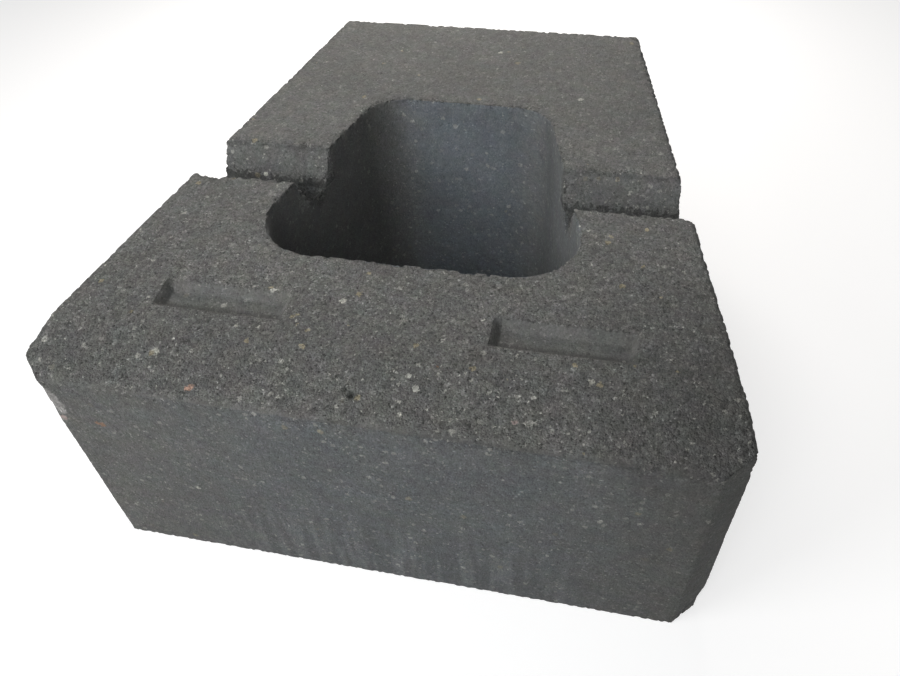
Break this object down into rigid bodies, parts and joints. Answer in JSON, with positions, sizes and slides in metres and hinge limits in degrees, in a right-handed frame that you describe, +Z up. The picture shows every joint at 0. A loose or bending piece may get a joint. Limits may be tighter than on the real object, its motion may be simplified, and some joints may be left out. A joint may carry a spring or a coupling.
{
  "type": "retaining wall block",
  "caption": "Trapezoid retaining-wall block of cast concrete with a through core, a cross groove, shallow pockets in its top and a bevelled face edge.",
  "frame": {"origin": "middle of the block's outline in plan, on the ground under its base", "axes": "+Z up, with the grooved side up; the wide face looks to -Y and the narrow back to +Y; +X is to the right as seen from the face"},
  "size_m": [0.457, 0.457, 0.203],
  "materials": {
    "concrete": "dry-cast dark grey concrete, open and gritty on top, smoother where the mould touched it"
  },
  "bodies": {
    "root": {"concrete_block": "concrete"}
  },
  "joints": []
}
